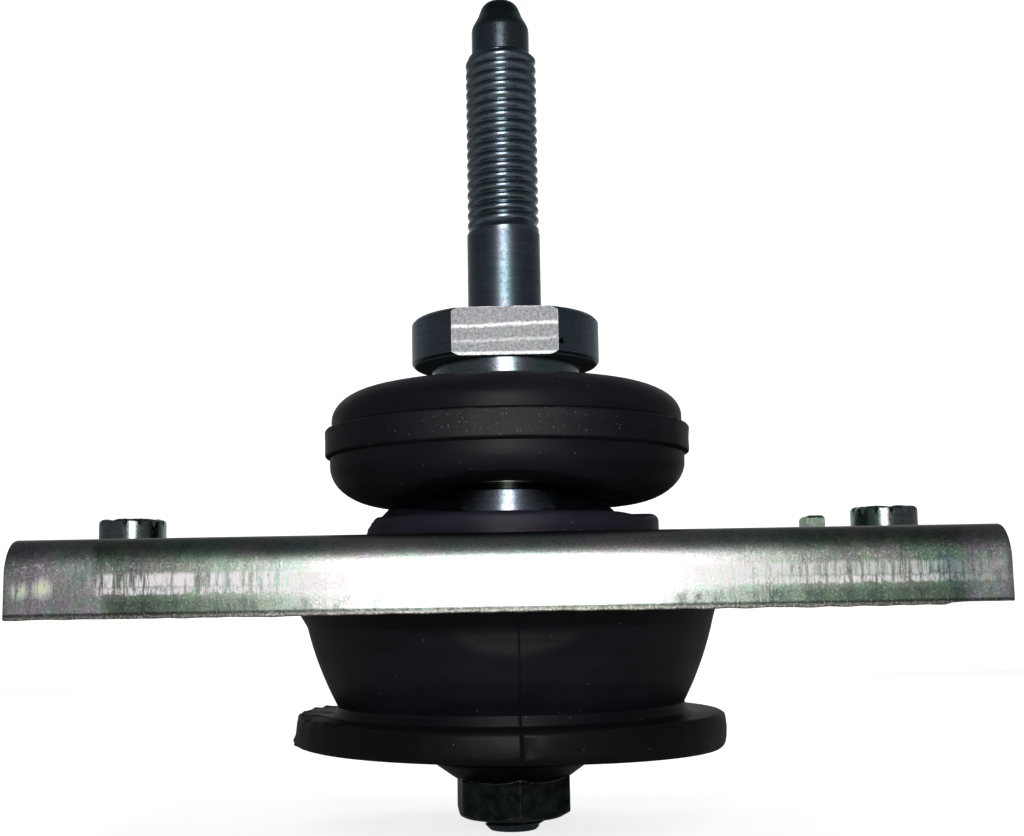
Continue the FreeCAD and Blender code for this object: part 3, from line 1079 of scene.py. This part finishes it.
def make_edge_wear():
    """A mask that is 1 on sharp outer edges, broken up by a fine noise."""
    group, given, end = new_group("edge_wear", [
        ("Width", "Float", 0.0003), ("Amount", "Float", 1.0)], [("Edge", "Float")])
    rounded = output(group, "Bevel", 0, {"samples": 4}, Radius=given["Width"])
    same = rounded.measure("DOT_PRODUCT", output(group, "NewGeometry", "Normal"))
    breaks = surface(group).noise(900.0).spread(0.35, 0.6)
    edge = (same.spread(0.99, 0.88) * breaks).math("MULTIPLY", given["Amount"], clamp=True)
    feed(end.inputs["Edge"], edge)
    return group


def make_specks():
    """Small separate specks of dust or pitting."""
    group, given, end = new_group("small_specks", [
        ("Scale", "Float", 500.0), ("Size", "Float", 0.15), ("Share", "Float", 0.3)],
        [("Speck", "Float")])
    cells = output(group, "TexVoronoi", "Distance", Vector=surface(group), Scale=given["Scale"])
    chance = output(group, "SeparateColor", Color=cells.sibling("Color"))
    speck = cells.math("LESS_THAN", given["Size"]) * chance.math("LESS_THAN", given["Share"])
    feed(end.inputs["Speck"], speck)
    return group


passivation = make_passivation()
tool_lines = make_tool_lines()
edge_wear = make_edge_wear()
small_specks = make_specks()

# %% [markdown]
# ## The steel finishes
# All the steel is zinc plated. The stud and the rings are turned, so their lines run round
# them. They look bluish and rather dark, and darker in the thread's roots. Painted shade
# darkens the pilot and its nose, the lower thread, a band under the collar and the bush beside its
# bead.

# %% Zinc on turned steel
COLLAR_PIT = ((8.9, -12.7, COLLAR_BOTTOM + 2.1), 0.55)
SHADE_DARK = (0.022, 0.042, 0.036)


def turned_zinc(name, colour, cloud_amount, roughness, grain_share=0.6, wear=0.4, shade_radii=None,
                pit=None):
    """Turned and plated steel. Shade_radii gives the radii where the darkening ends and its
    strength.
    """
    material, tree = new_material(name)
    clouds = use_group(tree, passivation, Metal=colour, Amount=cloud_amount, Scale=170.0,
                       Stretch=(1.0, 1.0, 0.35))
    rings = use_group(tree, tool_lines, Stretch=(0.04, 0.04, 1.0), Scale=2600.0, Contrast=1.2)
    grain = surface(tree).noise(1900.0, 2.0, 0.7)
    worn = use_group(tree, edge_wear, Width=0.0002, Amount=wear)
    specks = use_group(tree, small_specks, Scale=700.0, Size=0.14, Share=0.05)
    dark = (colour[0] * 0.35, colour[1] * 0.42, colour[2] * 0.44)
    base = mix(rings.spread(0.3, 0.7, 0.0, 0.5), clouds, dark)
    base = mix(grain.spread(0.5, 0.7, 0.0, 0.6), base, dark)
    base = mix(specks * 0.5, base, (0.09, 0.09, 0.10))
    base = mix(worn, base, (0.80, 0.81, 0.82))
    rough = grain.spread(0.3, 0.7, -0.05, 0.07) + roughness
    metallic = 1.0
    if shade_radii:
        height = surface(tree, IN_MM).parts()[2]
        radius = surface(tree, (1000, 1000, 0)).measure("LENGTH")
        # Painted shade, and darker thread roots: dark within a radius, on the nose, and in a band
        # under the collar where it meets the washer.
        dark_within_radius = radius.spread(shade_radii[0], shade_radii[1], shade_radii[2], 0.0)
        nose_shade = height.spread(STUD_TOP - NOSE - 0.5, STUD_TOP - NOSE + 0.4, 0.0, 0.55)
        under_collar_shade = band(height, COLLAR_BOTTOM, 0.35).spread(0.3, 0.9, 0.0, 0.95)
        on_thread = height.spread(THREAD_BOTTOM - 0.5, THREAD_BOTTOM)
        base = mix(on_thread * 0.4, base, (0.40, 0.52, 0.58))
        base = mix(dark_within_radius.larger(nose_shade.larger(under_collar_shade)), base, SHADE_DARK)
        rough = rough + on_thread * -0.08 + under_collar_shade * 0.6
        metallic = under_collar_shade.spread(0.0, 1.0, 1.0, 0.1)
    if pit:
        base = mix(spot(tree, *pit), base, (0.02, 0.017, 0.015))
    return finish(material, Base_Color=base, Roughness=rough, Metallic=metallic,
                  Normal=bump(rings + grain * grain_share, 0.3, 0.00002))


# On the stud the dark radius takes in the thread's roots, and as painted shade the pilot and the
# lower thread.
paint(stud, turned_zinc("stud_zinc", (0.25, 0.30, 0.37), 1.0, 0.33, wear=0.05,
                        shade_radii=(5.4, 5.85, 0.4), pit=COLLAR_PIT))
ring_zinc = turned_zinc("ring_zinc", (0.40, 0.45, 0.51), 1.0, 0.22, wear=0.1)
paint(washer, ring_zinc)
paint(disc, ring_zinc)
# On the bush everything but the bead is dark, as painted shade under the rubber.
paint(bush, turned_zinc("bush_zinc", (0.88, 0.82, 0.68), 0.3, 0.22, shade_radii=(8.2, 8.4, 0.95)))
paint(sleeve, turned_zinc("sleeve_zinc", (0.70, 0.78, 0.96), 0.4, 0.30, grain_share=1.6, wear=0.2))
nut_zinc = turned_zinc("clinch_nut_zinc", (0.44, 0.49, 0.50), 1.0, 0.22, grain_share=1.2, wear=1.0)
for piece in plate_nuts:
    paint(piece, nut_zinc)

# %% [markdown]
# ## The milled flats
# A cutter has gone across the collar's two flats after plating, so they are bright and grainy and
# crossed by faint ridges. The second material goes only on the faces that lie in the flats.

# %% Milled flats of the collar


def milled_steel():
    material, tree = new_material("milled_flat")
    x, _, z = surface(tree, IN_MM).parts()
    grain = surface(tree).noise(2000.0, 4.0, 0.85)
    lines = use_group(tree, tool_lines, Stretch=(0.04, 1.0, 1.0), Scale=1500.0, Contrast=1.3)
    slant = z + x * -0.03 + surface(tree).noise(700.0, 3.0, 0.7) * 0.7
    upper = band(slant, COLLAR_BOTTOM + 5.2, 0.42)
    lower = band(slant, COLLAR_BOTTOM + 2.75, 0.4)
    rim = band(z, COLLAR_BOTTOM + 0.3, 0.35)
    worn = use_group(tree, edge_wear, Width=0.0003, Amount=1.5)
    ridges = upper.larger(lower * 0.4).larger(rim).larger(worn)
    clouds = use_group(tree, passivation, Metal=(0.085, 0.087, 0.093), Amount=1.0, Scale=240.0)
    base = mix(grain.spread(0.38, 0.64), clouds, (0.30, 0.30, 0.315))
    base = mix(ridges * grain.spread(0.35, 0.6, 0.2, 0.9), base, (0.80, 0.78, 0.80))
    return finish(material, Base_Color=base, Roughness=grain.spread(0.3, 0.7, 0.34, 0.5),
                  Metallic=1.0, Normal=bump(lines * 0.6 + grain, 0.45, 0.00005))


def paint_collar_flats():
    stud.data.materials.append(milled_steel())
    count = 0
    for face in stud.data.polygons:
        middle = face.center / MM
        if COLLAR_BOTTOM < middle.z < COLLAR_TOP and abs(abs(middle.y) - COLLAR_FLAT) < 0.02:
            face.material_index = 1
            count += 1
    print("milled faces", count)


paint_collar_flats()

# %% [markdown]
# ## The plate's finish
# The plate was drawn and folded from zinc-plated sheet. The die dragged fine lines down its
# flanges, strongest near both ends. There two rows of short dashes along the middle of the face,
# fine sparkles and two glints are painted highlights. The plating is greener and duller there and
# painted darker toward the ends, low on the face and on the upper bend, with a rubbed violet patch
# at each end.

# %% Zinc on the folded plate
UPPER_ROW, LOWER_ROW = -5.9, -7.3       # heights of the two rows of dashes
LEFT_PATCH, RIGHT_PATCH = 56.0, 61.0    # where the rubbed patches begin
GLINTS = (((-65.8, -40.0, -7.0), 1.5), ((-62.6, -40.0, -6.8), 1.8))


def highlight_dash_rows(tree, height, across, streaks, dents):
    """Two rows of painted highlight dashes: a broad one, fainter on the right, and a beaded one
    below.
    """
    height = height + (dents - 0.5) * 1.6
    upper = band(height, UPPER_ROW, 1.15).spread(0.0, 0.45) * streaks.spread(0.38, 0.55)
    upper = upper * across.spread(0.0, 30.0, 1.0, 0.65)
    beads = surface(tree, (1.0, 0.5, 0.3)).noise(2200.0, 3.0, 0.75).spread(0.40, 0.54, 0.2, 1.0)
    lower = band(height, LOWER_ROW, 0.6).spread(0.0, 0.5) * streaks.spread(0.34, 0.50) * beads
    return upper.larger(lower)


def plate_zinc():
    material, tree = new_material("plate_zinc")
    x, y, z = surface(tree, IN_MM).parts()
    _, normal_y, normal_z = output(tree, "NewGeometry", "Normal").parts()
    along, facing = abs(x), abs(normal_y)
    upright = facing.spread(0.80, 0.95)
    toward_end = along.spread(18.0, 44.0)
    left_end = (z * -0.25 - x).spread(LEFT_PATCH, LEFT_PATCH + 1.2)
    at_end = left_end.larger(x.spread(RIGHT_PATCH, RIGHT_PATCH + 2.0)) * facing.spread(0.1, 0.6)
    clouds = use_group(tree, passivation, Metal=(0.66, 0.68, 0.68), Amount=0.7, Scale=70.0,
                       Stretch=(1.0, 1.0, 1.6))
    green = use_group(tree, passivation, Metal=(0.38, 0.46, 0.39), Amount=1.0, Scale=110.0,
                      Stretch=(1.0, 1.0, 1.3))
    violet = use_group(tree, passivation, Metal=(0.62, 0.62, 0.66), Amount=0.9, Scale=160.0)
    streaks = use_group(tree, tool_lines, Stretch=(1.0, 0.5, 0.08), Scale=1400.0, Contrast=1.6)
    mottle = surface(tree, (1.0, 1.0, 0.5)).noise(420.0, 5.0, 0.75)
    dents = surface(tree, (1.0, 1.0, 0.45)).noise(900.0, 3.0, 0.65)
    sparkle = surface(tree).noise(3200.0, 2.0, 0.6)

    # The plating is greener toward the ends, and this colour is also darker there as painted shade.
    base = mix(toward_end, clouds, green)
    # Painted shade: toward the ends the lower face is darker, in a smooth band and in mottled
    # patches.
    base = mix(z.spread(-8.8, -7.9, 0.75, 0.0) * toward_end, base, (0.14, 0.21, 0.13))
    low_mottled_shade = z.spread(-9.0, -8.0, 1.0, 0.0) * along.spread(10.0, 24.0, 0.0, 0.9)
    low_mottled_shade = low_mottled_shade.larger(toward_end * 0.5) * mottle.spread(0.44, 0.62)
    base = mix(low_mottled_shade, base, (0.11, 0.14, 0.13))
    base = mix(at_end * mottle.spread(0.40, 0.60, 1.0, 0.6), base, violet)
    # Painted shade on the upper bend, and a dark line just above the lower edge.
    edge_dark_line = z.spread(PLATE_EDGE + 0.75, PLATE_EDGE + 1.0, 1.0, 0.0) * upright
    crown = normal_z.spread(0.70, 0.95) * abs(y).spread(FLAT_HALF - 1.0, FLAT_HALF)
    shade = (edge_dark_line * dents.spread(0.3, 0.7, 1.0, 0.7)).larger(crown * 0.93)
    base = mix(shade, base, (0.05, 0.06, 0.05))
    burr = z.spread(PLATE_EDGE + 0.3, PLATE_EDGE + 0.6, 1.0, 0.0)
    base = mix(burr * sparkle.spread(0.40, 0.62, 0.25, 1.0), base, (0.50, 0.47, 0.42))
    base = mix(1.0, base, sparkle.spread(0.3, 0.7, 0.78, 1.35), "MULTIPLY")

    # Painted highlights: two rows of dashes, fine sparkles and two glints, mixed in as a pale, less
    # metallic colour.
    dash_highlight = highlight_dash_rows(tree, z, x, streaks, dents) * dents.spread(0.32, 0.50, 0.4, 1.0)
    dash_highlight = dash_highlight * upright * along.spread(16.0, 28.0)
    dash_highlight = dash_highlight * x.spread(-57.0, -54.0) * x.spread(56.0, 60.0, 1.0, 0.35)
    points = sparkle.spread(0.60, 0.74) * upright * 0.45
    first, second = (spot(tree, place, radius, 0.25) for place, radius in GLINTS)
    glint = first.larger(second) * streaks.spread(0.32, 0.52)
    bright = dash_highlight.larger(points).larger(glint)
    base = mix(bright, base, mix(glint, (0.97, 0.91, 0.94), (0.84, 0.95, 0.60)))
    rough = clouds.sibling("Cloud").spread(0.3, 0.7, 0.27, 0.36) + streaks * 0.08 + bright * 0.2
    relief = streaks * (toward_end * 0.3 + 0.1) + sparkle * 0.5
    return finish(material, Base_Color=base, Roughness=rough,
                  Metallic=bright.spread(0.0, 1.0, 1.0, 0.3), Normal=bump(relief, 0.5, 0.00006))


paint(plate, plate_zinc())

# %% [markdown]
# ## Blackened nut and rubber
# The nut is blackened steel with a blue sheen and bare bright edges, and a painted shadow
# darkens its washer face and the top of the hexagon. Moulded rubber is never plain black: it is a
# very dark violet grey, satin, with faint flow bands, fine grain, and pale dust that lies on the
# upper faces and clings to the belt. On the belt the dust is kept to the front and back middle, so
# it is partly painted sheen, and the main moulding is painted darker inside the channel and on the
# foot flange and lighter on the pad.

# %% Blackened nut


def blackened_steel():
    material, tree = new_material("blackened_steel")
    place = surface(tree)
    height = surface(tree, IN_MM).parts()[2]
    cloud = place.noise(500.0, 5.0, 0.7).spread(0.38, 0.62)
    grain = place.noise(1900.0)
    worn = use_group(tree, edge_wear, Width=0.0003, Amount=1.0)
    base = mix(cloud, (0.006, 0.009, 0.010), (0.032, 0.041, 0.044))
    # Painted shadow: the washer face and the top of the hexagon are nearly black, for the shadow of
    # the rubber flange.
    base = mix(height.spread(HEX_TOP - 0.7, HEX_TOP - 0.2), base, (0.002, 0.002, 0.002))
    return finish(material, Base_Color=mix(worn, base, (0.40, 0.43, 0.47)),
                  Roughness=grain.spread(0.3, 0.7, 0.28, 0.42), Specular_IOR_Level=0.18,
                  Metallic=worn.spread(0.0, 1.0, 0.4, 1.0), Normal=bump(grain, 0.3, 0.00003))


paint(hexagon_nut, blackened_steel())

# %% Moulded rubber


def moulded_rubber(name, belt=None):
    """Satin rubber. The belt, if any, is the band of heights where dust clings and, in its front
    and back middle, a painted sheen.
    """
    material, tree = new_material(name)
    place = surface(tree)
    x, _, z = surface(tree, IN_MM).parts()
    upward = output(tree, "NewGeometry", "Normal").parts()[2]
    bands = surface(tree, (0.25, 0.25, 2.2)).noise(260.0)
    cloud = place.noise(90.0, 5.0, 0.6)
    grain = place.noise(2600.0, 3.0, 0.6)
    base = mix(bands.spread(0.3, 0.7), (0.0052, 0.0042, 0.0076), (0.0100, 0.0082, 0.0140))
    base = mix(cloud.spread(0.45, 0.75, 0.0, 0.35), base, (0.016, 0.014, 0.019))
    dust_and_sheen = upward.spread(0.3, 1.0) * 0.05
    if belt:
        inside = z.spread(belt[0], belt[0] + 0.4) * z.spread(belt[1] - 0.4, belt[1], 1.0, 0.0)
        # Painted sheen: the belt's dust is kept to its front and back middle, so that the belt is
        # lighter there.
        inside = inside * abs(x).spread(5.0, 18.0, 1.0, 0.0)
        dust_and_sheen = dust_and_sheen + inside * 0.33
        share = inside * 0.4 + 0.015
    else:
        # Painted light and shade by height: darker inside the channel and on the foot flange,
        # lighter on the pad above the plate.
        shade = z.spread(-13.6, -12.9, 1.0, 0.3).smaller(z.spread(-28.5, -25.5, 0.35, 1.0))
        base = mix(1.0, base, shade + z.spread(-1.0, 2.0, 0.0, 2.7), "MULTIPLY")
        share = 0.02
    dust_and_sheen = dust_and_sheen.math("MULTIPLY", grain.spread(0.3, 0.75, 0.3, 1.0), clamp=True)
    fine = use_group(tree, small_specks, Scale=1900.0, Size=0.16, Share=share)
    coarse = use_group(tree, small_specks, Scale=420.0, Size=0.05, Share=0.06)
    base = mix(dust_and_sheen, base, (0.10, 0.095, 0.098))
    base = mix(fine.larger(coarse) * 0.5, base, (0.30, 0.29, 0.28))
    underside = upward.spread(-0.95, -0.6, 0.4, 0.0)
    rough = cloud.spread(0.3, 0.7, 0.40, 0.52) + dust_and_sheen * 0.4 + underside
    return finish(material, Base_Color=base, Roughness=rough, Specular_IOR_Level=0.2,
                  Normal=bump(grain * 0.5 + bands, 0.45, 0.00008))


paint(main_rubber, moulded_rubber("moulded_rubber"))
paint(snubber, moulded_rubber("dust_and_sheen_rubber", (BELT_BOTTOM, BELT_TOP)))

# %% [markdown]
# ## Floor, backdrop and light
# The part stands in a white studio. The floor and the backdrop show white to the camera and in
# the metal, but give the part no more light than a pale surface would. One soft lamp close
# above the camera draws the narrow highlights down the stud and the sleeve, and a large one
# overhead lights the rest.

# %% Studio
FLOOR_HEIGHT = STUD_BOTTOM - 0.02
BACKDROP_Y = 420.0
BACKDROP_SIZE = (560.0, 460.0)
BACKDROP_MIDDLE = 75.0


def studio_white(name, camera_glow, mirror_glow):
    """A pale surface. Its glow shows to the camera and in reflections, and lights nothing else."""
    material, tree = new_material(name)
    glossy = output(tree, "LightPath", "Is Glossy Ray")
    mirrored = glossy.larger(glossy.sibling("Is Transmission Ray"))
    glow = glossy.sibling("Is Camera Ray") * camera_glow + mirrored * mirror_glow
    both = node(tree, "AddShader")
    pale = mix(glossy, (0.80, 0.80, 0.80), (0.30, 0.30, 0.30))
    feed(both.inputs[0], output(tree, "BsdfDiffuse", Color=pale))
    feed(both.inputs[1], output(tree, "Emission", Color=(1, 1, 1), Strength=glow))
    node(tree, "OutputMaterial", Surface=Value(tree, both.outputs[0]))
    return material


def make_studio():
    clear_selection()
    bpy.ops.mesh.primitive_plane_add(size=6.0, location=(0, 0, FLOOR_HEIGHT * MM))
    floor = bpy.context.object
    floor.name = "studio_floor"
    bpy.ops.mesh.primitive_plane_add(size=MM, location=(0, BACKDROP_Y * MM, BACKDROP_MIDDLE * MM),
                                     rotation=(math.radians(90), 0, 0))
    backdrop = bpy.context.object
    backdrop.name = "studio_backdrop"
    backdrop.scale = (BACKDROP_SIZE[0], BACKDROP_SIZE[1], 1)
    paint(floor, studio_white("floor_white", 0.78, 0.06))
    paint(backdrop, studio_white("backdrop_white", 0.95, 0.4))


def make_lamp(name, place, width, height, watts, target=(0, 0, 10), in_reflections=True):
    data = bpy.data.lights.new(name, "AREA")
    data.shape = "RECTANGLE"
    data.size, data.size_y = width * MM, height * MM
    data.energy = watts
    lamp = bpy.data.objects.new(name, data)
    bpy.context.scene.collection.objects.link(lamp)
    lamp.location = Vector(place) * MM
    aim = Vector(target) - Vector(place)
    lamp.rotation_euler = aim.to_track_quat("-Z", "Y").to_euler()
    lamp.visible_camera = False
    lamp.visible_glossy = in_reflections
    print("lamp", name, watts, "W")


def make_world():
    """A dim room: darker behind the camera, so that metal keeps its depth, and white if seen."""
    world = bpy.data.worlds.new("studio_room")
    world.use_nodes = True
    bpy.context.scene.world = world
    tree = world.node_tree
    tree.nodes.clear()
    _, y, z = output(tree, "TexCoord", "Generated").parts()
    walls = mix(z.spread(0.15, 0.85), (0.085, 0.092, 0.098), (0.025, 0.028, 0.032))
    room = mix(y.spread(0.15, 1.0), walls, (0.24, 0.25, 0.26))
    camera_ray = output(tree, "LightPath", "Is Camera Ray")
    colour = mix(camera_ray.sibling("Is Diffuse Ray"), room, (0.10, 0.10, 0.11))
    colour = mix(camera_ray, colour, (1, 1, 1))
    node(tree, "OutputWorld", Surface=output(tree, "Background", Color=colour, Strength=1.0))


make_studio()
make_world()
make_lamp("lamp_by_camera", (0, -255, 60), 90, 200, 0.33)
make_lamp("lamp_overhead", (0, -60, 420), 380, 380, 0.5, in_reflections=False)
make_lamp("lamp_behind", (140, 260, 200), 200, 200, 0.3, in_reflections=False)
bpy.context.scene.view_settings.view_transform = "Standard"
